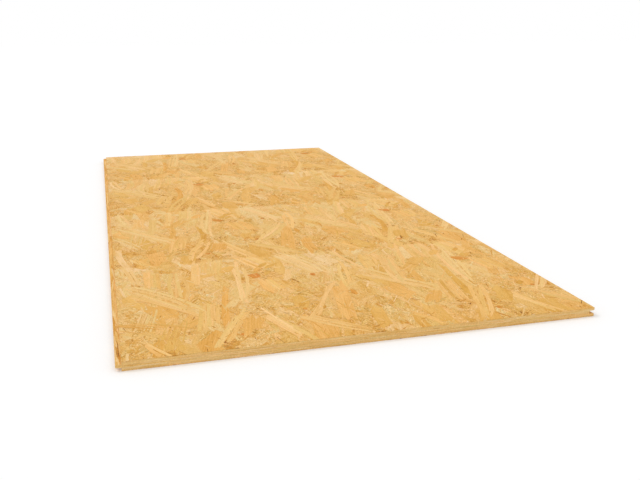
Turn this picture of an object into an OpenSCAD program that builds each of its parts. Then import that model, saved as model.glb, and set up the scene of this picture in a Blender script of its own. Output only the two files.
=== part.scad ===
// Tongue-and-groove OSB board: one flat sheet of pressed strands with square-sawn ends,
// a tapered tongue along the left long edge and the matching groove along the right one.
// Frame: X across the board (tongue at -X, groove at +X), Y along it, Z up.
// The origin is under the middle of the board, on the level it lies on.

/* [Board] */
// Length of the board, along the tongue and groove
board_len = 2000; // [600:10:5000]
// Covering width, from the tongue's shoulder to the face edge over the groove
cover_w = 900; // [200:5:1250]
// Thickness of the board
board_t = 18; // [12:1:30]

/* [Tongue] */
// How far the tongue stands out from its shoulder
tongue_proj = 10; // [6:0.5:14]
// Thickness of the tongue where it leaves the shoulder
tongue_root_t = 6.4; // [5:0.1:9]
// Thickness of the tongue at its nose, before the corners are rounded
tongue_nose_t = 5.2; // [3:0.1:5]
// Radius of the two long corners of the tongue's nose
nose_r = 1.5; // [0.5:0.1:2.5]

/* [Groove] */
// Clearance between each flank of a closed joint
flank_play = 0.2; // [0.05:0.05:0.5]
// Empty depth left in front of the tongue's nose in a closed joint
nose_gap = 1; // [0.5:0.1:3]
// How far the lower lip stops short of the upper one, so that the faces close first
lip_setback = 0.5; // [0.1:0.1:2]
// Lead-in chamfer on both lips at the mouth of the groove
mouth_chamfer = 0.8; // [0.2:0.1:1.5]

/* [Hidden] */

// Flat steps in each rounded corner
corner_steps = 6;
// How far a piece of the outline runs past a face that it is joined to or cut from
overrun = 2;

full_w = cover_w + tongue_proj;      // width over the tongue
shoulder_x = tongue_proj - full_w / 2;  // plane of the tongue's shoulders
lip_x = full_w / 2;                  // plane of the upper lip, and of the face edge
mid_z = board_t / 2;                 // the joint runs along the middle of the thickness

flank_slope = (tongue_root_t - tongue_nose_t) / 2 / tongue_proj;
groove_depth = tongue_proj + nose_gap;
groove_mouth_t = tongue_root_t + 2 * flank_play;

// Half thickness of a tapered key, a given distance out from its root
function key_half(root_t, out) = root_t / 2 - flank_slope * out;

// Outline of the upper half of a key, from behind its root to the middle of its nose.
// It points along +X. The nose corner is an arc that touches the flank and the nose.
function key_upper(root_t, proj, r) =
    let (
        tilt = atan(flank_slope),
        nose_half = key_half(root_t, proj),
        round_r = min(r, nose_half - 0.2),
        arc_z = nose_half + round_r * tan(tilt) - round_r / cos(tilt)
    )
    concat(
        [[-overrun, key_half(root_t, -overrun)]],
        [for (i = [0:corner_steps])
            let (a = (90 - tilt) * (1 - i / corner_steps))
            [proj - round_r + round_r * cos(a), arc_z + round_r * sin(a)]]
    );

// A whole key, as a flat outline with its root on X = 0
module key(root_t, proj, r) {
    upper = key_upper(root_t, proj, r);
    lower = [for (i = [len(upper) - 1:-1:0]) [upper[i][0], -upper[i][1]]];
    polygon(concat(upper, lower));
}

// Space that one lip's lead-in chamfer opens at the mouth of the groove.
// The upper lip's face is on X = 0, and back is how far the lip's own face lies behind it.
module lead_in(back) {
    face_z = key_half(groove_mouth_t, back) + mouth_chamfer;
    inner_x = back + mouth_chamfer;
    polygon([
        [-overrun, 0],
        [-overrun, face_z + overrun],
        [back, face_z],
        [inner_x, key_half(groove_mouth_t, inner_x)],
        [inner_x, 0]
    ]);
}

// Everything that the groove's cutters take away, with the upper lip's face on X = 0
// and the groove running in along +X
module groove() {
    key(groove_mouth_t, groove_depth, nose_r);
    lead_in(0);
    mirror([0, 1]) lead_in(lip_setback);
    translate([-overrun, -mid_z - overrun]) square([overrun + lip_setback, mid_z + overrun]);
}

// Cross-section of the board, with the thickness along Y of the drawing
module section() {
    difference() {
        union() {
            translate([shoulder_x, 0]) square([cover_w, board_t]);
            translate([shoulder_x, mid_z]) mirror([1, 0]) key(tongue_root_t, tongue_proj, nose_r);
        }
        translate([lip_x, mid_z]) mirror([1, 0]) groove();
    }
}

module board() {
    color([0.90, 0.71, 0.43])
        translate([0, board_len / 2, 0])
            rotate([90, 0, 0])
                linear_extrude(board_len)
                    section();
}

board();
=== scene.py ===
import math
import time

import bpy
import numpy as np
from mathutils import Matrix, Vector, noise
from mathutils.bvhtree import BVHTree
from mathutils.geometry import delaunay_2d_cdt


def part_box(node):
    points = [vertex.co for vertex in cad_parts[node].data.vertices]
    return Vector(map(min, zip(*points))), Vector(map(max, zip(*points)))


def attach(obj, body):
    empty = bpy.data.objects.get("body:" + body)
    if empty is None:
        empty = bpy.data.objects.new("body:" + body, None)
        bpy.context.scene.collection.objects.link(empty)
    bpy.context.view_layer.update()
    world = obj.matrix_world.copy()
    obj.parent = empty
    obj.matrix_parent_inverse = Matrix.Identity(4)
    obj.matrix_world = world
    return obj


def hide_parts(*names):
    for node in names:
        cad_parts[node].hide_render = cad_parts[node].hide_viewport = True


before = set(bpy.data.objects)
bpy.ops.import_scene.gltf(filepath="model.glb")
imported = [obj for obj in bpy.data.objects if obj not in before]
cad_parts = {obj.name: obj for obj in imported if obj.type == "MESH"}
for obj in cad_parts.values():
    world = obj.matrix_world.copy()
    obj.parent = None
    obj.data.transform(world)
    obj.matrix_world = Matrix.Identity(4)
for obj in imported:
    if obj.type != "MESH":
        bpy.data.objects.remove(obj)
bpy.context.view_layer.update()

low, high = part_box("board")
started = time.time()
mm = 0.001


def report(words):
    print("[%5.1f s] %s" % (time.time() - started, words), flush=True)


def newObject(name, data):
    thing = bpy.data.objects.new(name, data)
    bpy.context.collection.objects.link(thing)
    return thing


# The camera stands before the near end, low over the board, turned towards its grooved side.
cameraPlace = {
    "lens": 42.9,                       # mm, on a 36 mm sensor
    "fromTongue": 0.0129,               # m, in from the tongue's nose
    "beforeEnd": 1.1981,                # m, in front of the near end
    "aboveFace": 0.5432,                # m, over the upper face
    "turn": 15.77,                      # degrees right of the board's length
    "tilt": 16.2,                       # degrees down
    "seesTo": 60,                       # m
}


def placeCamera():
    camera = newObject("camera", bpy.data.cameras.new("camera"))
    camera.data.lens = cameraPlace["lens"]
    camera.data.clip_end = cameraPlace["seesTo"]
    camera.location = (
        low.x + cameraPlace["fromTongue"],
        low.y - cameraPlace["beforeEnd"],
        high.z + cameraPlace["aboveFace"],
    )
    camera.rotation_euler.x = math.radians(90 - cameraPlace["tilt"])
    camera.rotation_euler.z = math.radians(-cameraPlace["turn"])
    bpy.context.scene.camera = camera
    report("the camera stands")


placeCamera()

# How the board's surface is divided: the two faces are plates of strands, the rest is one body.
build = {
    "plate": 1.0 * mm,                  # depth of the strands that show on a face
    "bare": 0.55 * mm,                  # how deep the gaps between them go
    "lanes": 4,                         # plates side by side on each face
    "alongStep": 8 * mm,                # marks along an arris, which neighbouring surfaces share
    "acrossStep": 6 * mm,
    "arris": 0.8 * mm,                  # strip beside an arris in which the relief dies out
    "sawnArris": 0.15 * mm,             # the same strip on the sawn ends and moulded edges
}


def sectionLoop():
    # outline of the near end, anticlockwise seen from in front, from its lower left corner
    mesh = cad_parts["board"].data
    sides = set()
    for face in mesh.polygons:
        spots = [mesh.vertices[v].co for v in face.vertices]
        if max(p.y for p in spots) > low.y + 0.01 * mm:
            continue
        spots = [(round(p.x, 6), round(p.z, 6)) for p in spots]
        for a, b in zip(spots, spots[1:] + spots[:1]):
            # a side that two triangles share is inside the outline
            if (b, a) in sides:
                sides.remove((b, a))
            else:
                sides.add((a, b))
    following = dict(sides)
    spot = min(following, key=lambda p: (round(p[1], 5), p[0]))
    loop = []
    while spot not in loop:
        loop.append(spot)
        spot = following[spot]
    return np.array(loop)


def marksOn(loop, step):
    # the loop's corners with marks between them, and each corner's place among the marks
    marks, corners = [], []
    for a, b in zip(loop, np.roll(loop, -1, axis=0)):
        pieces = max(1, math.ceil(np.linalg.norm(b - a) / step - 1e-6))     # rounding adds none
        corners.append(len(marks))
        marks.extend(a + (b - a) * k / pieces for k in range(pieces))
    return np.array(marks), corners + [len(marks)]


section = sectionLoop()
stations = np.linspace(low.y, high.y, round((high.y - low.y) / build["alongStep"]) + 1)
report("the section has %d corners" % len(section))

# Strands, one by one, in the order in which they are laid. Number on a square metre; length and
# width in mm; lean in degrees off the board's length; tone, from 0 dark to 1 pale, and its spread;
# how deep in mm the first and the last of the kind lie; how flecked they are; and where they lie:
# over 0 is among small bits, under 0 among whole strands.
anywhere, amongBits, amongStrands = (-9, 9), (0, 9), (-9, 0.1)
strandKinds = {
    "bed": dict(number=950, length=(80, 170), width=(18, 44), lean=26, tone=0.495, spread=0.06,
                depth=(0.45, 0.32), fleck=0.6, where=anywhere),
    "broad": dict(number=180, length=(90, 230), width=(14, 40), lean=20, tone=0.535, spread=0.06,
                  depth=(0.30, 0.22), fleck=0.3, where=amongStrands),
    "mat": dict(number=1500, length=(22, 70), width=(12, 34), lean=55, tone=0.515, spread=0.07,
                depth=(0.34, 0.24), fleck=1.0, where=amongBits),
    "crumb": dict(number=5000, length=(4, 18), width=(1.4, 4.0), lean=42, tone=0.52, spread=0.15,
                  depth=(0.34, 0.12), fleck=0.7, where=amongBits),
    # shaded cracks: narrow strands a little recessed and painted dark, as the shade that lies between
    # strands
    "shadedCrack": dict(number=640, length=(6, 36), width=(0.6, 1.4), lean=32, tone=0.26, spread=0.08,
                  depth=(0.42, 0.38), fleck=0.0, where=anywhere),
    "splinter": dict(number=400, length=(12, 70), width=(1.5, 5), lean=34, tone=0.54, spread=0.12,
                     depth=(0.20, 0.10), fleck=0.2, where=anywhere),
    "bundle": dict(number=14, length=(50, 130), width=(2.5, 5), lean=24, tone=0.58, spread=0.05,
                   depth=(0.14, 0.05), fleck=0.2, where=anywhere),
    "pale": dict(number=12, length=(90, 220), width=(8, 22), lean=18, tone=0.57, spread=0.04,
                 depth=(0.08, 0.02), fleck=0.1, where=anywhere),
    "bit": dict(number=2950, length=(4, 18), width=(1.3, 3.4), lean=42, tone=0.52, spread=0.16,
                depth=(0.10, 0.02), fleck=0.6, where=anywhere),
    "litter": dict(number=740, length=(5, 34), width=(0.8, 2.2), lean=34, tone=0.52, spread=0.16,
                   depth=(0.06, 0.01), fleck=0.3, where=anywhere),
    "speck": dict(number=260, length=(2, 7), width=(0.8, 2.0), lean=45, tone=0.14, spread=0.06,
                  depth=(0.40, 0.40), fleck=0.0, where=anywhere),
}
laying = {
    "overhang": 60 * mm,                # how much longer and wider than the face the lay is
    "ragged": 0.06,                     # how ragged the border of an area of small bits is
    "warmth": 0.35,                     # spread of the warmth
    "deeperIsWarmer": 9,                # warmth gained for each 1 of tone under the middle tone
    "middleTone": 0.46,
    "fleckedIsPlain": 0.6,              # how much less of that a flecked strand gains
    "coolest": -1.5, "warmest": 2, "palest": 0.82,
    "narrow": 1.4,                      # over 1 gives more narrow strands than wide ones
    "stubby": 0.6,                      # the most that a width is, of the length
    "bundled": 7,                       # how many lie side by side in a bundle
    "beside": (1.0, 1.6),               # how far apart they lie, in widths
    "ahead": 0.12,                      # how far one slips past the other, of the length
    "fan": 1.5,                         # degrees from one to the next
    "bundleTone": 0.05,                 # spread of the tone from one to the next
}

# Shape of a strand, mostly as shares of its width or its length.
strandShape = {
    "bowing": 7 * mm,                   # from this width on, the long sides have corners to bow at
    "sides": 0.36,                      # how far the long sides reach from the middle, of the length
    "bow": (0.2, 0.03),                 # of the width, and of the length
    "taper": 0.15,
    "wavy": 0.1,                        # how much the long sides waver, of the width
    "torn": 8 * mm,                     # over this width the ends have several teeth
    "teeth": (4, 8),                    # at least, and fewer than
    "uneven": 0.4,                      # how unevenly the teeth stand
    "endWidth": 0.85,                   # of the width
    "slant": 0.9,                       # of an end, in widths
    "tear": (-0.8, 0.4),                # how much shorter or longer a tooth is, in widths
    "least": 0.38,                      # what an end reaches from the middle at least, of the length
}
chipShape = {
    "corners": (4, 7),                  # at least, and fewer than
    "turn": 0.6,                        # the most that a corner is turned from its even place
    "reach": (0.75, 1.2),               # how far out a corner is, of the half length or width
}


def strandOutline(rng, length, width):
    # one long side, the torn far end, the other side back, the torn near end
    half = width / 2
    look = strandShape
    along = 2 if width < look["bowing"] else 4
    spine = np.linspace(-look["sides"], look["sides"], along) * length
    bow = look["bow"][0] * width + look["bow"][1] * length
    bend = rng.normal(0, bow) * (1 - (spine / length / 0.5) ** 2)
    taper = 1 + rng.normal(0, look["taper"]) * spine / length * 2
    lower = np.c_[spine, bend - half * taper * (1 + rng.uniform(-look["wavy"], look["wavy"], along))]
    upper = np.c_[spine, bend + half * taper * (1 + rng.uniform(-look["wavy"], look["wavy"], along))]
    ends = []
    for side in (1, -1):
        teeth = int(rng.integers(*look["teeth"])) if width > look["torn"] else 2
        spread = np.linspace(-1, 1, teeth) + rng.uniform(-look["uneven"], look["uneven"], teeth) / teeth
        across = spread * look["endWidth"] * half * side
        slant = rng.uniform(-look["slant"], look["slant"]) * width * spread
        reach = 0.5 * length + slant + rng.uniform(*look["tear"], teeth) * width
        ends.append(np.c_[np.maximum(reach, look["least"] * length) * side, across])
    return np.vstack([lower, ends[0], upper[::-1], ends[1]])


def chipOutline(rng, length, width):
    count = int(rng.integers(*chipShape["corners"]))
    turn = np.linspace(0, 2 * np.pi, count, endpoint=False) + rng.uniform(0, chipShape["turn"], count)
    reach = rng.uniform(*chipShape["reach"], count)
    return np.c_[np.cos(turn) * length / 2 * reach, np.sin(turn) * width / 2 * reach]


def ways(angle):
    # ahead along a strand and square to it
    cos, sin = math.cos(angle), math.sin(angle)
    return np.array([[cos, sin], [-sin, cos]])


def strand(shape, spot, angle, width, tone, warmth, fleck, depth, seed):
    facts = (*spot, angle, width / 2, tone, seed, warmth, fleck)
    return {"outline": shape @ ways(angle) + spot, "depth": depth, "facts": facts}


# Facts are place, angle, half width, tone, seed, warmth and fleck. These stand where no strand lies.
bareGap = (0, 0, 0, 1, 0.30, 0.5, 0.8, 0.5)

# The forming line lays much the same pattern again and again along the board.
formed = {
    "field": 500,                       # mm, length and width of one lay
    # how the tone changes from its near side to its far side: where, in mm, and by how much
    "paler": ((0, 100, 200, 420, 500), (-0.085, -0.055, -0.018, 0.045, 0.105)),
    "stray": 5,                         # mm that a strand strays from one lay to the next
    "turn": 2,                          # degrees, the same; and so tone and size
    "tone": 0.02,
    "size": (0.9, 1.1),
    "fleck": 0.1,                       # how flecked the strands of the lists below are
    "chipped": 60,                      # mm, under which a strand has a chip's outline
    "deepAt": 0.2 * mm,                 # how deep each of the three lists below lies
    "paleAt": 0.04 * mm,
    "lastAt": 0.03 * mm,
    # how the borders of the areas of small bits wander: how often in a metre, how much, a seed
    "wander": (23, 0.5, 3.7),
}
# A pale strand shows as slivers side by side, each with its own tone.
slivers = {
    "width": 6,                         # mm, roughly
    "depth": (0.02, 0.06),              # mm
    "slip": 0.07,                       # how far one lies ahead of the other, of the length
    "length": (0.7, 1.02), "overlap": (1.1, 1.6),
    "fan": 1.2,                         # degrees
    "tone": 0.04, "warmth": 0.25,
}
# Where in a field small bits lie: middle and radius, all in mm, in from the tongue and from the
# field's near side.
crumbs = [
    (360, 150, 90), (420, 335, 58), (310, 400, 62), (20, 430, 52), (130, 275, 52), (15, 60, 55),
    (225, 35, 50), (480, 50, 55), (325, 420, 40), (285, 190, 50), (130, 90, 42), (485, 190, 48),
    (50, 160, 35),
]
# Where the lay is paler or deeper: middle, radius and change of tone.
patches = [
    (425, 400, 75, 0.15), (325, 390, 60, -0.17), (30, 375, 60, 0.11), (160, 475, 60, 0.10),
    (45, 225, 55, 0.10), (200, 120, 60, -0.13), (215, 60, 55, -0.07), (20, 60, 60, 0.11),
    (375, 325, 45, -0.07), (375, 225, 45, -0.06), (320, 225, 40, 0.07), (275, 25, 45, 0.08),
    (125, 225, 40, -0.10), (235, 325, 50, 0.06), (475, 375, 45, 0.06), (325, 25, 40, -0.04),
    (425, 25, 40, 0.04), (480, 20, 45, -0.07), (30, 120, 50, -0.05), (275, 375, 40, -0.07),
]
# Strands that catch the eye: middle, lean towards the groove in degrees, length and width, tone
# and warmth.
paleOnes = [
    (310, 455, -20, 120, 50, 0.57, 0.6), (215, 462, 5, 120, 50, 0.57, -0.2),
    (92, 262, -36, 190, 38, 0.58, -0.6), (172, 160, 10, 130, 40, 0.52, 0.0),
    (330, 305, -10, 90, 50, 0.53, 0.8), (76, 395, 3, 110, 30, 0.56, 0.1),
    (260, 345, 7, 290, 22, 0.66, -0.3), (205, 92, 22, 200, 24, 0.56, 0.2),
    (84, 262, -37, 200, 9, 0.635, -0.6), (96, 272, -38, 200, 8, 0.625, -0.5),
    (400, 195, 28, 210, 18, 0.61, -0.3), (298, 78, -21, 160, 20, 0.59, 0.1),
    (284, 112, -22, 110, 5, 0.70, 0.2), (424, 424, -24, 190, 42, 0.66, -1.0),
    (162, 420, 8, 170, 16, 0.63, 0.0), (392, 62, -42, 160, 20, 0.565, -0.3),
    (28, 430, -10, 150, 16, 0.62, -0.7), (488, 340, 8, 200, 13, 0.60, 0.5),
    (112, 345, 4, 170, 26, 0.57, -0.7), (64, 30, -30, 90, 12, 0.55, 0.9),
]
# The same for the strands of deeper colour that lie under them.
deepOnes = [
    (68, 188, -18, 80, 46, 0.40, 0.9), (345, 185, 4, 70, 28, 0.38, 1.0),
    (210, 222, 7, 190, 15, 0.32, 1.6), (436, 165, 10, 220, 30, 0.42, 0.7),
    (96, 64, -4, 90, 40, 0.43, 0.8), (172, 365, 38, 100, 30, 0.40, 0.6),
    (362, 430, 3, 130, 22, 0.43, 0.5), (350, 40, 5, 110, 44, 0.40, 0.6), (62, 30, 5, 80, 20, 0.37, 1.0),
    (138, 265, 4, 160, 16, 0.38, 0.9), (28, 275, -30, 80, 24, 0.44, 0.8),
    (478, 70, 8, 120, 30, 0.39, 1.0), (175, 20, 12, 80, 40, 0.40, 0.8), (120, 140, 30, 60, 30, 0.42, 0.8),
]
# The same for the knots and deeper strands that lie over them.
lastOnes = [
    (290, 370, -50, 42, 30, 0.22, 2.7), (236, 424, 35, 54, 26, 0.41, 1.3),
    (414, 354, -20, 20, 12, 0.20, 2.6), (216, 55, -30, 15, 12, 0.21, 2.8),
    (478, 215, -5, 40, 13, 0.23, 2.3), (356, 152, 10, 16, 13, 0.20, 2.4),
    (318, 442, 35, 46, 15, 0.30, 1.0), (336, 424, 48, 58, 13, 0.35, 0.9),
    (306, 408, 30, 44, 16, 0.32, 1.3), (328, 388, 35, 44, 14, 0.33, 1.0),
    (246, 112, 14, 66, 34, 0.38, 0.9), (344, 174, 30, 28, 15, 0.23, 1.2),
    (395, 145, 20, 20, 8, 0.20, 1.0),
]


def fieldPlace(spot, span, tongueAt):
    field = formed["field"]
    return abs(spot[1] - tongueAt) / mm % field, (spot[0] + span[0] / 2) / mm % field


def nearness(place, x, y, radius):
    # 1 at a place that every field has, falling to 0 at the radius and on below it
    field = formed["field"]
    aside, ahead = place[0] - x, place[1] - y
    return 1 - math.hypot(min(aside % field, -aside % field), min(ahead % field, -ahead % field)) / radius


def crumbly(spot, place):
    # over 0 where small bits lie, under 0 where whole strands do
    often, much, seed = formed["wander"]
    nearest = max(nearness(place, *crumb) for crumb in crumbs)
    return max(-1, nearest) + much * noise.noise(Vector((*(spot * often), seed)))


def toneShift(place):
    patch = sum(change * max(0, nearness(place, x, y, radius)) for x, y, radius, change in patches)
    return patch + np.interp(place[1], *formed["paler"])


def layKind(rng, name, span, tongueAt, share):
    kind = strandKinds[name]
    laid = []
    middle = np.array([0, span[1] / 2])
    number = round(kind["number"] * share.get(name, 1) * span[0] * span[1])
    narrow, wide = kind["width"]
    gain = laying["deeperIsWarmer"] * (1 - laying["fleckedIsPlain"] * kind["fleck"])
    for k in range(number):
        spot = middle + (rng.random(2) - 0.5) * (span + laying["overhang"])
        place = fieldPlace(spot, span, tongueAt)
        among = crumbly(spot, place) + rng.normal(0, laying["ragged"])
        if not kind["where"][0] < among < kind["where"][1]:
            continue
        angle = math.radians(rng.normal(0, kind["lean"]))
        tone = kind["tone"] + rng.normal(0, kind["spread"]) + toneShift(place)
        warmth = rng.normal(0, laying["warmth"]) + gain * (laying["middleTone"] - tone)
        warmth = min(max(warmth, laying["coolest"]), laying["warmest"])
        depth = np.interp(k / number, (0, 1), kind["depth"]) * mm
        for _ in range(laying["bundled"] if name == "bundle" else 1):
            length = rng.uniform(*kind["length"]) * mm
            width = (narrow + (wide - narrow) * rng.random() ** laying["narrow"]) * mm
            width = min(width, length * laying["stubby"])
            if name in ("mat", "crumb", "bit", "speck"):
                shape = chipOutline(rng, length, width)
            else:
                shape = strandOutline(rng, length, width)
            shade, seed = min(tone, laying["palest"]), rng.random()
            laid.append(strand(shape, spot, angle, width, shade, warmth, kind["fleck"], depth, seed))
            # the next one of a bundle lies beside it
            ahead, beside = ways(angle)
            spot = spot + beside * width * rng.uniform(*laying["beside"])
            spot = spot + ahead * length * rng.normal(0, laying["ahead"])
            angle += math.radians(rng.normal(0, laying["fan"]))
            tone += rng.normal(0, laying["bundleTone"])
    return laid


def splitStrand(rng, spot, angle, size, tone, warmth, pieces):
    laid = []
    ahead, beside = ways(angle)
    length, width = size[0], size[1] / pieces
    for k in rng.permutation(pieces):
        place = spot + beside * (k + 0.5 - pieces / 2) * width
        place = place + ahead * length * rng.normal(0, slivers["slip"])
        long = length * rng.uniform(*slivers["length"])
        shape = strandOutline(rng, long, width * rng.uniform(*slivers["overlap"]))
        turned = angle + math.radians(rng.normal(0, slivers["fan"]))
        tint = tone + rng.normal(0, slivers["tone"])
        hue = warmth + rng.normal(0, slivers["warmth"])
        depth = rng.uniform(*slivers["depth"]) * mm
        laid.append(strand(shape, place, turned, width, tint, hue, formed["fleck"], depth, rng.random()))
    return laid


def layFields(rng, rows, span, tongueAt, depth, split=False):
    # the same strands in every field, each time a little out of place
    laid = []
    field = formed["field"] * mm
    across = 1 if tongueAt == 0 else -1
    for ahead in np.arange(-span[0] / 2, span[0] / 2 - 1 * mm, field):
        for aside in np.arange(0, span[1], field):
            for x, y, lean, length, width, tone, warmth in rows:
                spot = np.array([ahead + y * mm, tongueAt + across * (aside + x * mm)])
                spot += rng.normal(0, formed["stray"] * mm, 2)
                angle = math.radians(lean + rng.normal(0, formed["turn"])) * across
                tone += rng.normal(0, formed["tone"])
                size = np.array([length, width]) * mm
                pieces = round(width / slivers["width"]) if split else 1
                if pieces > 1:
                    laid += splitStrand(rng, spot, angle, size, tone, warmth, pieces)
                    continue
                size *= rng.uniform(*formed["size"], 2)
                outline = chipOutline if length < formed["chipped"] else strandOutline
                shape, seed = outline(rng, *size), rng.random()
                laid.append(strand(shape, spot, angle, size[1], tone, warmth, formed["fleck"], depth, seed))
    return laid


def layFace(rng, span, tongueAt, share):
    # strands in the order in which they lie on one another; the flat axes run along and across
    laid = []
    for name in strandKinds:
        laid += layKind(rng, name, span, tongueAt, share)
        if name == "crumb":
            laid += layFields(rng, deepOnes, span, tongueAt, formed["deepAt"])
        if name == "pale":
            laid += layFields(rng, paleOnes, span, tongueAt, formed["paleAt"], split=True)
            laid += layFields(rng, lastOnes, span, tongueAt, formed["lastAt"])
    return laid


# Strands cut through: long thin lenses in rows, with small shallow gaps between some of them, painted
# dark as the shade inside them. For an upright and a lying cut: height of a row and length of a lens
# in mm, tilt in degrees, tone and its spread, and warmth.
sawnKinds = {
    "upright": dict(row=1.0, length=(22, 95), tilt=0.5, tone=0.575, spread=0.085, warmth=-1.2),
    "lying": dict(row=3.3, length=(16, 80), tilt=4, tone=0.50, spread=0.15, warmth=-0.3),
}
sawnLook = {
    "seed": 8,
    "longer": 1.6,                      # how much longer the lenses are on the moulded edges
    "overlap": 1.12,                    # how much longer a lens is than its share of the row
    "width": (1.1, 1.7),                # of the row's height
    "warmth": 0.8,                      # spread
    "fleck": 0.2, "depth": 0.10 * mm,
    # the gaps are a little recessed and painted dark, as the shade inside them
    "gaps": 0.15,                       # for each cut strand
    "gapLength": (1.5, 9), "gapWidth": (0.25, 0.55),                # mm
    "gapShadeTone": (0.30, 0.45), "gapWarmth": 0.5, "gapDepth": 0.35 * mm,
}
lensShape = {
    "corners": (-0.5, -0.3, 0.3, 0.5),  # along it, of the length
    "blunt": (0.1, 0.5),                # width of an end, of the width
    "sway": 0.12,                       # of the width
}


def lensOutline(rng, length, width):
    ends = rng.uniform(*lensShape["blunt"], 2)
    spine = np.array(lensShape["corners"]) * length
    half = width / 2 * np.array([ends[0], 1, 1, ends[1]])
    sway = rng.normal(0, lensShape["sway"], 4) * width
    return np.vstack([np.c_[spine, sway - half], np.c_[spine, sway + half][::-1]])


def layRows(rng, fromHere, toHere, kind, longer=1):
    laid = []
    look = sawnLook
    (a0, b0), (a1, b1) = fromHere, toHere
    rows = max(1, round((b1 - b0) / (kind["row"] * mm)))
    step = (b1 - b0) / rows
    for row in range(rows):
        a = a0 - rng.random() * kind["length"][1] * mm
        while a < a1:
            length = rng.uniform(*kind["length"]) * mm * longer
            width = step * rng.uniform(*look["width"])
            spot = np.array([a + length / 2, b0 + (row + 0.5) * step])
            shape = lensOutline(rng, length * look["overlap"], width)
            angle = math.radians(rng.normal(0, kind["tilt"]))
            tone = kind["tone"] + rng.normal(0, kind["spread"])
            warmth = kind["warmth"] + rng.normal(0, look["warmth"])
            depth = rng.random() * look["depth"]
            laid.append(strand(shape, spot, angle, width, tone, warmth, look["fleck"], depth, rng.random()))
            a += length
    rng.shuffle(laid)
    # small gaps, a little recessed and painted dark as the shade inside them
    for _ in range(round(len(laid) * look["gaps"])):
        spot = np.array([rng.uniform(a0, a1), rng.uniform(b0, b1)])
        length = rng.uniform(*look["gapLength"]) * mm
        width = min(rng.uniform(*look["gapWidth"]) * mm, (b1 - b0) / 3)
        shape = lensOutline(rng, length, width)
        angle = math.radians(rng.normal(0, kind["tilt"]))
        tone = rng.uniform(*look["gapShadeTone"])
        warmth, depth, seed = look["gapWarmth"], look["gapDepth"], rng.random()
        laid.append(strand(shape, spot, angle, width, tone, warmth, 0, depth, seed))
    for one in laid:
        one["outline"][:, 1] = np.clip(one["outline"][:, 1], b0, b1)
    return laid


# From overlapping outlines to one stepped surface. Spots closer than these, in metres, are one.
closeness = {"outlines": 1e-6, "borders": 1e-7, "cap": 1e-9, "straight": 2e-7, "mark": 2e-6, "rim": 1e-7}


def areaOf(outline):
    x, y = outline.T
    return abs(x @ np.roll(y, -1) - y @ np.roll(x, -1)) / 2


def within(outline, spots):
    # which of the spots lie inside an outline
    near = np.flatnonzero(np.all((spots > outline.min(axis=0)) & (spots < outline.max(axis=0)), axis=1))
    x, y = spots[near].T
    inside = np.zeros(len(near), bool)
    for (ax, ay), (bx, by) in zip(outline, np.roll(outline, -1, axis=0)):
        crossed = (ay > y) != (by > y)
        inside[crossed] ^= x[crossed] < ax + (y[crossed] - ay) * (bx - ax) / (by - ay)
    return near[inside]


def arrange(region, outlines):
    # cuts the plane along every outline; each bit belongs to the last outline that covers it
    outlines = [region] + outlines
    points, loops = [], []
    for outline in outlines:
        loops.append(list(range(len(points), len(points) + len(outline))))
        points.extend(Vector(p) for p in outline)
    spots, _, bits, _, _, covers = delaunay_2d_cdt(points, [], loops, 0, closeness["outlines"], True)
    spots, bits = np.array([tuple(p) for p in spots]), np.array(bits)
    bit, cover = np.array([(k, one) for k, ones in enumerate(covers) for one in ones]).T
    a, b, c = (spots[bits[:, k]] for k in range(3))
    area = np.abs((b - a)[:, 0] * (c - a)[:, 1] - (b - a)[:, 1] * (c - a)[:, 0]) / 2
    # where the bits of an outline are 3 in 100 off its area, the cutting lost track of it, so that
    # they are looked up
    held = np.bincount(cover, area[bit], len(loops))
    whole = np.array([areaOf(outline) for outline in outlines])
    lost = np.flatnonzero(abs(held - whole) > 0.03 * whole)
    bit, cover = bit[~np.isin(cover, lost)], cover[~np.isin(cover, lost)]
    found = [within(outlines[k], (a + b + c) / 3) for k in lost]
    bit = np.concatenate([bit] + found)
    cover = np.concatenate([cover] + [np.full(len(mine), k) for k, mine in zip(lost, found)])
    owner = np.zeros(len(bits), int)
    np.maximum.at(owner, bit, cover)
    kept = np.unique(bit[cover == 0])
    return spots, bits[kept], owner[kept]


def sidesOf(tris):
    # every side of every triangle, the pairs that are one side met twice, and those met once
    sides = tris[:, [[0, 1], [1, 2], [2, 0]]].reshape(-1, 2)
    way = np.sort(sides, axis=1)
    order = np.lexsort((way[:, 1], way[:, 0]))
    twin = np.flatnonzero(np.all(way[order][1:] == way[order][:-1], axis=1))
    one, two = order[twin], order[twin + 1]
    alone = np.ones(len(sides), bool)
    alone[one] = alone[two] = False
    return sides, one, two, np.flatnonzero(alone)


def visibleBorders(spots, bits, owner):
    # the sides where the owner changes, with straight runs of them made one
    sides, one, two, alone = sidesOf(bits)
    owner = np.repeat(owner, 3)
    near = {}
    for a, b in sides[np.r_[one[owner[one] != owner[two]], alone]].tolist():
        near.setdefault(a, []).append(b)
        near.setdefault(b, []).append(a)

    def straight(p):
        if len(near[p]) != 2:
            return False
        a, b = spots[near[p][0]] - spots[p], spots[near[p][1]] - spots[p]
        reach = abs(a).sum() + abs(b).sum()
        return abs(a[0] * b[1] - a[1] * b[0]) < closeness["straight"] * reach and a @ b < 0

    passing = {p for p in near if straight(p)}
    kept = []
    for p in near:
        if p in passing:
            continue
        for q in near[p]:
            last, here = p, q
            while here in passing:
                a, b = near[here]
                last, here = here, (b if a == last else a)
            if p < here:
                kept.append((p, here))
    return kept


def triangleAt(finder, spots):
    # which triangle lies at each spot, or else the nearest one
    down = Vector((0, 0, -1))
    found = []
    for x, y in spots.tolist():
        hit = finder.ray_cast((x, y, 1), down)[2]
        found.append(finder.find_nearest((x, y, 0))[2] if hit is None else hit)
    return found


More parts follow.
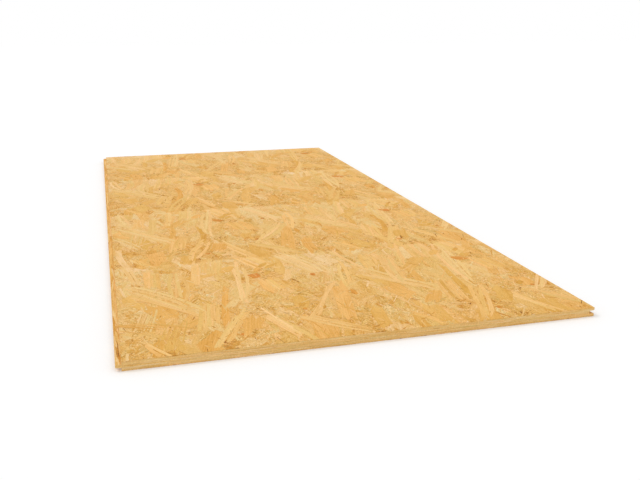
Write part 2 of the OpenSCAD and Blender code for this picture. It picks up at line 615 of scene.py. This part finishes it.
def surfacePatch(outer, inner, strands, creases=()):
    # outer is the patch's outline with its marks, inner the line at which the relief begins
    spots, bits, owner = arrange(inner, [one["outline"] for one in strands])
    borders = visibleBorders(spots, bits, owner)
    used = sorted({p for border in borders for p in border})
    place = {p: k + len(outer) for k, p in enumerate(used)}
    points = [Vector(p) for p in outer] + [Vector(spots[p]) for p in used]
    edges = [(place[a], place[b]) for a, b in borders] + list(creases)
    found = delaunay_2d_cdt(points, edges, [list(range(len(outer)))], 0, closeness["borders"], True)
    corners = np.array([tuple(p) for p in found[0]])
    tris = np.array([tri for tri, cover in zip(found[2], found[5]) if cover])
    mark = np.full(len(corners), -1)    # which mark of the outline a corner is
    for k, sources in enumerate(found[3]):
        for source in sources:
            if source < len(outer):
                mark[k] = source
    finder = BVHTree.FromPolygons([(x, y, 0) for x, y in spots.tolist()], bits.tolist())
    owner = owner[triangleAt(finder, corners[tris].mean(axis=1))]
    return {"corners": corners, "tris": tris, "owner": owner, "mark": mark, "strands": strands}


def ladder(pTop, pLow, qTop, qLow):
    # triangles of an upright wall between two columns of levels
    rungs = []
    p, q = pTop, qTop
    while p < pLow or q < qLow:
        if p == pLow or (q < qLow and (q - qTop) * (pLow - pTop) <= (p - pTop) * (qLow - qTop)):
            rungs.append((p, q + 1, q))
            q += 1
        else:
            rungs.append((p, p + 1, q))
            p += 1
    return rungs


def flatCap(corners, rim):
    # fills the space that lies on the left of the rim's sides
    hem = np.unique(rim)
    points, edges = [Vector(p) for p in corners[hem]], np.searchsorted(hem, rim).tolist()
    found = delaunay_2d_cdt(points, edges, [], 0, closeness["cap"], True)
    tris = np.array([hem[sources[0]] for sources in found[3]])[np.array(found[2])]
    sides, one, two, _ = sidesOf(tris)
    rimKeys = rim @ (len(corners), 1)
    left = np.isin(sides @ (len(corners), 1), rimKeys)
    right = np.isin(sides @ (1, len(corners)), rimKeys)
    inside = np.zeros(len(tris), int)
    inside[np.flatnonzero(left) // 3] = 1
    inside[np.flatnonzero(right) // 3] = -1
    # it spreads from the rim across every side that isn't on it
    passable = ~(left | right)[one]
    one, two = one[passable] // 3, two[passable] // 3
    while np.any(inside == 0):
        before = inside.copy()
        for a, b in ((one, two), (two, one)):
            reached = (inside[a] != 0) & (inside[b] == 0)
            inside[b[reached]] = inside[a[reached]]
        if np.all(before == inside):
            break
    return tris[inside > 0]


fine = 1e8                              # levels in a metre
stack = 10 ** 6                         # over the number of levels that any depth needs


def lift(patch, toWorld, bare=0, mine=slice(None), plate=0):
    # gives a patch its levels: each corner once for every level that meets there, with walls
    # between strands of different depth; with a plate's depth it becomes a closed solid
    corners, mark = patch["corners"], patch["mark"]
    tris, owner = patch["tris"][mine], patch["owner"][mine]
    depth = np.array([bare] + [one["depth"] for one in patch["strands"]])
    level = np.rint(depth[owner][:, None] * (mark[tris] < 0) * fine).astype(np.int64)
    bottom = round(plate * fine)
    sides, one, two, alone = sidesOf(tris)
    sideLevel = level[:, [[0, 1], [1, 2], [2, 0]]].reshape(-1, 2)
    sideOwner = np.repeat(owner, 3)
    keys = [(tris * stack + level).ravel()]
    if plate:
        keys.append(sides[alone].ravel() * stack + bottom)
    keys = np.unique(np.concatenate(keys))

    def column(spots, levels):
        return np.searchsorted(keys, spots * stack + levels)

    faces, owners, shown = [column(tris, level)], [owner], [np.ones(len(tris), bool)]
    differ = np.any(sideLevel[one] != sideLevel[two][:, ::-1], axis=1)
    one, two = one[differ], two[differ]
    oneIsUpper = depth[sideOwner[one]] < depth[sideOwner[two]]
    upper, lower = np.where(oneIsUpper, one, two), np.where(oneIsUpper, two, one)
    tops = column(sides[upper], sideLevel[upper])
    lows = column(sides[upper], sideLevel[lower][:, ::-1])
    holders = sideOwner[upper]
    if plate:
        tops = np.vstack([tops, column(sides[alone], sideLevel[alone])])
        lows = np.vstack([lows, column(sides[alone], bottom)])
        holders = np.concatenate([holders, sideOwner[alone]])
        cap = flatCap(corners, sides[alone])
        faces.append(column(cap[:, ::-1], bottom))
        owners.append(np.zeros(len(cap), int))
        shown.append(np.zeros(len(cap), bool))
    for (pTop, qTop), (pLow, qLow), holder in zip(tops.tolist(), lows.tolist(), holders):
        rungs = ladder(pTop, pLow, qTop, qLow)
        faces.append(np.array(rungs))
        owners.append(np.full(len(rungs), holder))
        shown.append(np.ones(len(rungs), bool))
    spot = keys // stack
    flat = corners[spot]
    return {
        "points": toWorld(flat, (keys % stack) / fine), "flat": flat, "mark": mark[spot],
        "faces": np.vstack(faces), "owner": np.concatenate(owners), "shown": np.concatenate(shown),
        "strands": patch["strands"],
    }


# Looks of the wood. A scale is how often a pattern comes in a metre along and across a strand.
woodLook = {
    # colours as they look on a screen, from the darkest gap to the palest strand
    "tones": [
        (0.0, (0.56, 0.35, 0.11)), (0.14, (0.78, 0.535, 0.195)), (0.28, (0.862, 0.645, 0.295)),
        (0.5, (0.926, 0.738, 0.432)), (0.72, (0.963, 0.797, 0.535)), (0.9, (0.977, 0.835, 0.60)),
        (1.0, (0.987, 0.865, 0.655)),
    ],
    # tints for warmth -1 and 1, for strands of the lowest and the highest seed, and for a knot,
    # with the warmth at which one begins to redden and is red
    "cool": (0.975, 0.995, 1.05), "warm": (1.03, 0.995, 0.93),
    "green": (0.97, 1.014, 0.98), "pink": (1.027, 0.986, 1.022),
    "red": (1.0, 0.86, 0.95), "redFrom": (2.0, 2.7),
    # patterns that change the tone, and by how much; growth rings show most on the streaky strands,
    # which are those of a high seed
    "fibreScale": (32, 640, 1), "fibre": 0.42,
    "ringScale": (7, 330, 1), "plainRing": 0.11, "streakyRing": 0.4, "streaky": (0.55, 0.95),
    "cloudScale": (14, 50, 1), "cloud": 0.22,
    # painted shade: a strand's tone drops in the strip along its sides, as the shadow at its step would
    "side": 0.04, "sideShadeFrom": (0.72, 1.05),     # the deeper strip along a strand's sides
    # two lays of flecks: how each lies in degrees, with the length and width of a fleck in metres;
    # how often in a metre they take turns, and between which values; how often and how far they bend
    "flecks": ((18, (0.015, 0.0030)), (-30, (0.010, 0.0025))), "fleck": 0.50,
    "fleckTurns": (75, 0.47, 0.53), "fleckBend": (45, 0.004),
    "hueScale": (25, 160, 1), "hue": 1.2,       # how much the warmth swings within a strand
    # what changes the brightness alone: fine grit, and painted shade in the dark rims of the flecks
    "gritScale": 340, "grit": 0.6, "gapWidth": 0.12, "fleckRimShade": 0.3,
    "rough": (0.68, 0.85), "specular": 0.2, "bump": 0.35, "bumpDepth": 0.2 * mm,
    # the tone rises before a lay's far side and drops behind its near side; both in parts of a lay
    "seam": 0.045, "seamFrom": 0.10, "seamTo": 0.01,
}


def paint(color):
    # a screen colour as the linear one that a socket wants
    return tuple(c / 12.92 if c <= 0.04045 else ((c + 0.055) / 1.055) ** 2.4 for c in color) + (1,)


class Tree:
    def __init__(self, tree):
        self.tree = tree
        tree.nodes.clear()

    def fill(self, socket, value):
        if isinstance(value, bpy.types.NodeSocket):
            self.tree.links.new(value, socket)
        else:
            socket.default_value = value

    def add(self, kind, inputs=None, **settings):
        node = self.tree.nodes.new("ShaderNode" + kind)
        for name, value in settings.items():
            setattr(node, name, value)
        for name, value in (inputs or {}).items():
            self.fill(node.inputs[name], value)
        return node

    def math(self, operation, *values):
        return self.add("Math", dict(enumerate(values)), operation=operation).outputs[0]

    def plus(self, *values):
        total = values[0]
        for value in values[1:]:
            total = self.math("ADD", total, value)
        return total

    def times(self, a, b):
        return self.math("MULTIPLY", a, b)

    def scaled(self, vector, by):
        return self.add("VectorMath", {0: vector, 1: by}, operation="MULTIPLY").outputs[0]

    def split(self, vector):
        return self.add("SeparateXYZ", {0: vector}).outputs

    def attribute(self, name):
        return self.split(self.add("Attribute", attribute_name=name).outputs["Vector"])

    def noise(self, vector, scale=1, detail=2, rough=0.5):
        inputs = {"Vector": vector, "Scale": scale, "Detail": detail, "Roughness": rough}
        return self.add("TexNoise", inputs).outputs["Fac"]

    def chips(self, vector, turn, size):
        # chips lying at an angle: a random value for each, and how far in from its rim a point is
        turning = {"Vector": vector, "Angle": math.radians(turn)}
        turned = self.add("VectorRotate", turning, rotation_type="Z_AXIS").outputs[0]
        inputs = {"Vector": self.scaled(turned, (1 / size[0], 1 / size[1], 1)), "Scale": 1}
        color = self.add("TexVoronoi", inputs).outputs["Color"]
        inward = self.add("TexVoronoi", inputs, feature="DISTANCE_TO_EDGE").outputs["Distance"]
        return self.split(color)[0], inward

    def swing(self, value, by):
        # a pattern turned into a change either way
        return self.math("MULTIPLY_ADD", value, by, -by / 2)

    def step(self, value, fromLow, fromHigh, toLow=0.0, toHigh=1.0):
        inputs = {"Value": value, "From Min": fromLow, "From Max": fromHigh}
        inputs |= {"To Min": toLow, "To Max": toHigh}
        return self.add("MapRange", inputs, interpolation_type="SMOOTHSTEP").outputs["Result"]

    def ramp(self, value, stops):
        node = self.add("ValToRGB", {0: value})
        elements = node.color_ramp.elements
        while len(elements) < len(stops):
            elements.new(0.5)
        for element, (place, color) in zip(elements, stops):
            element.position = place
            element.color = paint(color)
        return node.outputs["Color"]

    def blend(self, factor, a, b):
        return self.add("Mix", {0: factor, 2: a, 3: b}, data_type="FLOAT").outputs[0]

    def tinted(self, color, factor, one, other):
        # a colour multiplied by something between two tints, or beyond them
        tints = {0: factor, 6: (*one, 1), 7: (*other, 1)}
        tint = self.add("Mix", tints, data_type="RGBA", clamp_factor=False).outputs[2]
        both = {0: 1, 6: color, 7: tint}
        return self.add("Mix", both, data_type="RGBA", blend_type="MULTIPLY").outputs[2]


def seamTone(t, where, value, seam):
    # the tone steps where one lay ends and the next begins
    look = woodLook
    field = formed["field"] * mm
    lays = t.math("FRACT", t.math("MULTIPLY_ADD", t.split(where)[1], 1 / field, -low.y / field))
    before = t.step(lays, 1 - look["seamFrom"], 1 - look["seamTo"], 0, seam)
    return t.plus(value, before, t.step(lays, look["seamTo"], look["seamFrom"], -seam, 0))


def woodMaterial(name, seam):
    look = woodLook
    material = bpy.data.materials.new(name)
    material.use_nodes = True
    t = Tree(material.node_tree)
    along, across, side = t.attribute("grain")
    tone, seed, warmth = t.attribute("strand")
    flecked = t.attribute("fleck")[0]
    where = t.add("TexCoord").outputs["Object"]
    # each strand has a slice of the noises for itself
    own = t.add("CombineXYZ", {0: along, 1: across, 2: t.times(seed, 97)}).outputs[0]
    # fibres, growth rings and clouds in the tone
    fibre = t.noise(t.scaled(own, look["fibreScale"]), detail=3, rough=0.6)
    ring = t.noise(t.scaled(own, look["ringScale"]))
    cloud = t.noise(t.scaled(own, look["cloudScale"]))
    streaky = t.step(seed, *look["streaky"], look["plainRing"], look["streakyRing"])
    rings = t.times(t.plus(ring, -0.5), streaky)
    value = t.plus(tone, rings, t.swing(fibre, look["fibre"]), t.swing(cloud, look["cloud"]))
    # flecks
    bendOften, bendFar = look["fleckBend"]
    bend = t.add("TexNoise", {"Vector": own, "Scale": bendOften, "Detail": 1}).outputs["Color"]
    bending = {0: bend, 1: (bendFar, bendFar, 0), 2: own}
    bent = t.add("VectorMath", bending, operation="MULTIPLY_ADD").outputs[0]
    (level, inward), (otherLevel, otherInward) = (t.chips(bent, *lay) for lay in look["flecks"])
    turnsOften, turnLow, turnHigh = look["fleckTurns"]
    pick = t.step(t.noise(own, turnsOften), turnLow, turnHigh)
    fleck = t.swing(t.blend(pick, level, otherLevel), look["fleck"])
    # painted shade in the rims between the flecks
    fleckRimShade = t.step(t.blend(pick, inward, otherInward), 0.0, look["gapWidth"], 1, 0)
    # the flecks, and painted shade in the strip along the strand's sides
    value = t.plus(value, t.times(fleck, flecked), t.step(side, *look["sideShadeFrom"], 0, -look["side"]))
    if seam:
        value = seamTone(t, where, value, seam)
    # the tone as a colour, tinted and shaded
    color = t.ramp(value, look["tones"])
    hue = t.plus(warmth, t.swing(t.noise(t.scaled(own, look["hueScale"])), look["hue"]))
    color = t.tinted(color, t.math("MULTIPLY_ADD", hue, 0.5, 0.5), look["cool"], look["warm"])
    color = t.tinted(color, seed, look["green"], look["pink"])
    color = t.tinted(color, t.step(warmth, *look["redFrom"]), (1, 1, 1), look["red"])
    grit = t.swing(t.noise(where, look["gritScale"], 3, 0.65), look["grit"])
    # the grit, and the painted shade of the flecks' rims, scale the brightness
    color = t.scaled(color, t.plus(grit, 1, t.times(t.times(fleckRimShade, flecked), -look["fleckRimShade"])))
    height = t.plus(t.times(fibre, 0.5), t.times(ring, 0.5))
    bump = t.add("Bump", {"Strength": look["bump"], "Distance": look["bumpDepth"], "Height": height})
    shader = t.add("BsdfPrincipled", {
        "Base Color": color, "Roughness": t.step(fibre, 0.2, 0.8, *look["rough"]),
        "Normal": bump.outputs["Normal"], "Specular IOR Level": look["specular"],
    })
    t.add("OutputMaterial", {"Surface": shader.outputs[0]})
    report("%s: material" % name)
    return material


pressed = woodMaterial("pressed strands", woodLook["seam"])
sawn = woodMaterial("sawn strands", 0)

# A part is unfolded in strips, each from one place along the board to another. The board's middle is
# at 0, and the outer strips reach past its ends.
beyond, quarter = 9, (high.y - low.y) / 4
halves = ((-beyond, 0), (0, beyond))
quarters = ((-beyond, -quarter), (-quarter, 0), (0, quarter), (quarter, beyond))
mapGap = 0.006                          # between the strips on the map, which is 1 wide and high


def unfold(parts):
    # each strip gets a place of its own on the flat map; what never shows shares its corner
    strips = []
    for number, part in enumerate(parts):
        middle = part["flat"][part["faces"]].mean(axis=1)[:, 0]
        for start, end in part["strips"]:
            chosen = part["shown"] & (middle >= start) & (middle < end)
            spots = part["flat"][part["faces"][chosen]]
            strips.append((number, chosen, spots, spots.min(axis=(0, 1)), spots.max(axis=(0, 1))))
    widest = max(top[0] - bottom[0] for _, _, _, bottom, top in strips)
    tall = sum(top[1] - bottom[1] for _, _, _, bottom, top in strips) / (1 - mapGap * (len(strips) + 2))
    maps = [np.full((len(part["faces"]), 3, 2), mapGap / 2) for part in parts]
    v = mapGap
    for number, chosen, spots, bottom, top in strips:
        maps[number][chosen] = (spots - bottom) / (widest / (1 - 2 * mapGap), tall) + (mapGap, v)
        v += (top[1] - bottom[1]) / tall + mapGap
    return np.vstack(maps)


def strandValues(part):
    # where each corner of a face lies on its strand (along, across and how near the side), the
    # strand's tone, seed and warmth, and how flecked it is
    facts = np.array([bareGap] + [one["facts"] for one in part["strands"]])[part["owner"]]
    off = part["flat"][part["faces"]] - facts[:, None, 0:2]
    cos, sin = np.cos(facts[:, 2:3]), np.sin(facts[:, 2:3])
    along = off[:, :, 0] * cos + off[:, :, 1] * sin
    across = off[:, :, 1] * cos - off[:, :, 0] * sin
    grain = np.stack([along, across, np.abs(across) / facts[:, 3:4]], axis=-1)
    return grain, facts[:, 4:7], facts[:, 7]


def joined(points, faces, onRim):
    # parts of one piece share the marks on their rims
    index, seen = np.arange(len(points)), {}
    for k in np.flatnonzero(onRim).tolist():
        index[k] = seen.setdefault(tuple(np.rint(points[k] / closeness["rim"]).astype(int)), k)
    kept, index = np.unique(index, return_inverse=True)
    return points[kept], index[faces]


def setAttribute(mesh, name, kind, domain, values):
    field = "value" if kind == "FLOAT" else "vector"
    mesh.attributes.new(name, kind, domain).data.foreach_set(field, values.ravel())


def addPiece(name, parts, material):
    starts = np.cumsum([0] + [len(part["points"]) for part in parts])
    points = np.vstack([part["points"] for part in parts])
    faces = np.vstack([part["faces"] + start for part, start in zip(parts, starts)])
    if len(parts) > 1:
        points, faces = joined(points, faces, np.concatenate([part["mark"] >= 0 for part in parts]))
    grain, kind, fleck = (np.concatenate(values) for values in zip(*map(strandValues, parts)))
    mesh = bpy.data.meshes.new(name)
    mesh.from_pydata(points, [], faces)
    setAttribute(mesh, "grain", "FLOAT_VECTOR", "CORNER", grain)
    setAttribute(mesh, "strand", "FLOAT_VECTOR", "FACE", kind)
    setAttribute(mesh, "fleck", "FLOAT", "FACE", fleck)
    mesh.uv_layers.new(name="OFBake").data.foreach_set("uv", unfold(parts).ravel())
    mesh.materials.append(material)
    piece = newObject(name, mesh)
    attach(piece, "root")
    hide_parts("board")
    report("%s: %d faces" % (name, len(mesh.polygons)))


def rectangle(alongMarks, acrossMarks):
    # anticlockwise, with every mark on its four sides
    a, b = np.asarray(alongMarks), np.asarray(acrossMarks)
    return np.vstack([
        np.c_[a[:-1], np.full(len(a) - 1, b[0])], np.c_[np.full(len(b) - 1, a[-1]), b[:-1]],
        np.c_[a[:0:-1], np.full(len(a) - 1, b[-1])], np.c_[np.full(len(b) - 1, a[0]), b[:0:-1]],
    ])


def insetBy(edge, alongMarks, acrossMarks):
    ends = [np.array([marks[0] + edge, marks[-1] - edge]) for marks in (alongMarks, acrossMarks)]
    return rectangle(*ends)


# The two faces, each with its random seed and the share of some kinds that is laid on it.
faceLays = {
    "top_strands": dict(seed=5, share={}),
    "underside_strands": dict(seed=6, share={
        "crumb": 0.15, "bit": 0.04, "litter": 0.1, "shadedCrack": 0.25, "splinter": 0.3,
    }),
}


def addFace(name, fromX, toX, z):
    # the flat axes run along the board and from fromX to toX, anticlockwise seen from outside;
    # inwards is up on the underside and down on top, which is way
    rng = np.random.default_rng(faceLays[name]["seed"])
    way = 1 if toX > fromX else -1
    width = abs(toX - fromX)
    across = np.linspace(0, width, round(width / build["acrossStep"]) + 1)
    tongueAt = 0 if way > 0 else width
    strands = layFace(rng, np.array([high.y - low.y, width]), tongueAt, faceLays[name]["share"])
    report("%s: %d strands are laid" % (name, len(strands)))
    patch = surfacePatch(rectangle(stations, across), insetBy(build["arris"], stations, across), strands)
    lanes = build["lanes"]

    def laneAt(b):
        return np.clip((b / width * lanes).astype(int), 0, lanes - 1)

    def toWorld(flat, deep):
        return np.c_[fromX + way * flat[:, 1], flat[:, 0], z + way * deep]

    # a strand belongs whole to the lane in which its middle lies
    laneOf = np.r_[0, laneAt(np.array([one["facts"][1] for one in strands]))]
    middles = patch["corners"][patch["tris"]].mean(axis=1)
    lane = np.where(patch["owner"] == 0, laneAt(middles[:, 1]), laneOf[patch["owner"]])
    for k in range(lanes):
        part = lift(patch, toWorld, build["bare"], lane == k, build["plate"])
        part["strips"] = halves
        addPiece("%s_%d" % (name, k + 1), [part], pressed)


lowerLeft, lowerRight = section[0], section[1]
upper = int(np.argmax(section[:, 1] + section[:, 0] * 0.001))       # the right one of the two highest
upperRight, upperLeft = section[upper], section[upper + 1]
addFace("top_strands", upperRight[0], upperLeft[0], high.z)
addFace("underside_strands", lowerLeft[0], lowerRight[0], low.z)


# The body between the faces: moulded long edges and sawn ends.
def addBody():
    rng = np.random.default_rng(sawnLook["seed"])
    loop = section.copy()
    loop[:, 1] = np.clip(loop[:, 1], low.z + build["plate"], high.z - build["plate"])
    rim, corners = marksOn(loop, build["acrossStep"])
    closed = np.vstack([rim, rim[:1]])
    run = np.diff(closed, axis=0)
    length = np.linalg.norm(run, axis=1)
    girth = np.r_[0, np.cumsum(length)]
    out = np.c_[run[:, 1], -run[:, 0]] / length[:, None]    # square to each run, outwards
    mitre = out + np.roll(out, 1, axis=0)
    mitre /= np.sum(mitre * out, axis=1)[:, None]
    parts = []

    def cutStrands(first, marks):
        # rows of them on each upright or lying stretch between the marks
        upright = np.abs(out[first:first + len(marks) - 1, 0]) > 0.7        # turned sideways, not up
        turns = np.flatnonzero(np.r_[True, upright[1:] != upright[:-1], True])
        laid = []
        for start, end in zip(turns[:-1], turns[1:]):
            kind = sawnKinds["upright" if upright[start] else "lying"]
            fromHere, toHere = (low.y, marks[start]), (high.y, marks[end])
            laid += layRows(rng, fromHere, toHere, kind, sawnLook["longer"])
        return laid

    def addSide(first, last, plain=False):
        # the stretch of the section from one mark to another, along the whole board; a plain one
        # lies under the strands of a face
        marks = girth[first:last + 1] - girth[first]
        strands = [] if plain else cutStrands(first, marks)
        outer = rectangle(stations, marks)
        # a crease from end to end at each corner of the section
        right = len(stations) - 1
        around = 2 * right + 2 * (last - first)
        turns = [c - first for c in corners if first < c < last]
        creases = [(around - turn, right + turn) for turn in turns]
        patch = surfacePatch(outer, insetBy(build["sawnArris"], stations, marks), strands, creases)

        def toWorld(flat, deep):
            b = flat[:, 1] + girth[first]
            k = np.clip(np.searchsorted(girth, b, side="right") - 1, first, last - 1)
            share = (b - girth[k]) / length[k]
            for bound in (0, 1):
                share[np.abs(share - bound) * length[k] < closeness["mark"]] = bound
            spot = closed[k] + run[k] * share[:, None]
            normal = out[k].copy()
            for bound in (0, 1):
                hit = share == bound
                normal[hit] = mitre[(k[hit] + bound) % len(rim)]
            spot = spot - normal * deep[:, None]
            return np.c_[spot[:, 0], flat[:, 0], spot[:, 1]]

        parts.append(lift(patch, toWorld))
        parts[-1]["strips"] = () if plain else quarters

    def addEnd(side):
        # side is 1 at the near end and -1 at the far one
        y = low.y if side > 0 else high.y
        outer = rim * (side, 1)
        inner = outer - mitre * (side, 1) * build["sawnArris"]
        if side < 0:
            outer, inner = outer[::-1], inner[::-1]
        strands = layRows(rng, outer.min(axis=0), outer.max(axis=0), sawnKinds["upright"])

        def toWorld(flat, deep):
            return np.c_[flat[:, 0] * side, y + side * deep, flat[:, 1]]

        parts.append(lift(surfacePatch(outer, inner, strands), toWorld))
        parts[-1]["strips"] = halves

    addSide(corners[0], corners[1], plain=True)
    addSide(corners[1], corners[upper])
    addSide(corners[upper], corners[upper + 1], plain=True)
    addSide(corners[upper + 1], corners[-1])
    addEnd(1)
    addEnd(-1)
    addPiece("board_body", parts, sawn)


addBody()

# Soft light from all round, with a mild key from behind on the left, over a white floor.
studio = {
    "sky": 0.815,
    "background": 1.0,                  # where the camera sees past the floor
    "key": 0.71,
    "keyDirection": (0.45, -0.30, -0.84),
    "keySoftness": 25,                  # degrees
    "floorWidth": 30,                   # m
    "floorShade": 0.92,
    "floorLift": 0.085,                 # added where the camera sees the floor, so that it reads white
}


def seenDirectly(t):
    # 1 for what the camera sees, also in a gloss or through something clear
    path = t.add("LightPath").outputs
    seen = t.math("MAXIMUM", path["Is Camera Ray"], path["Is Glossy Ray"])
    return t.math("MAXIMUM", seen, path["Is Transmission Ray"])


def addSky():
    world = bpy.data.worlds.new("studio")
    bpy.context.scene.world = world
    world.use_nodes = True
    t = Tree(world.node_tree)
    sky = t.add("Background", {"Color": (1, 1, 1, 1), "Strength": studio["sky"]})
    seen = t.add("Background", {"Color": (1, 1, 1, 1), "Strength": studio["background"]})
    mixed = t.add("MixShader", {0: seenDirectly(t), 1: sky.outputs[0], 2: seen.outputs[0]})
    t.add("OutputWorld", {"Surface": mixed.outputs[0]})


def addKey():
    key = newObject("key", bpy.data.lights.new("key", "SUN"))
    key.data.energy = studio["key"]
    key.data.angle = math.radians(studio["keySoftness"])
    key.rotation_euler = Vector(studio["keyDirection"]).to_track_quat("-Z", "Y").to_euler()


def addFloor():
    bpy.ops.mesh.primitive_plane_add(size=studio["floorWidth"], location=(0, 0, low.z))
    floor = bpy.context.object
    floor.name = "floor"
    material = bpy.data.materials.new("floor")
    material.use_nodes = True
    t = Tree(material.node_tree)
    shade = studio["floorShade"]
    sheet = t.add("BsdfDiffuse", {"Color": (shade, shade, shade, 1)})
    glow = t.add("Emission", {"Strength": t.times(seenDirectly(t), studio["floorLift"])})
    lifted = t.add("AddShader", {0: sheet.outputs[0], 1: glow.outputs[0]})
    t.add("OutputMaterial", {"Surface": lifted.outputs[0]})
    floor.data.materials.append(material)


addSky()
addKey()
addFloor()
bpy.context.scene.view_settings.view_transform = "Standard"
report("the studio is lit")

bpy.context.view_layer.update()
report("done")
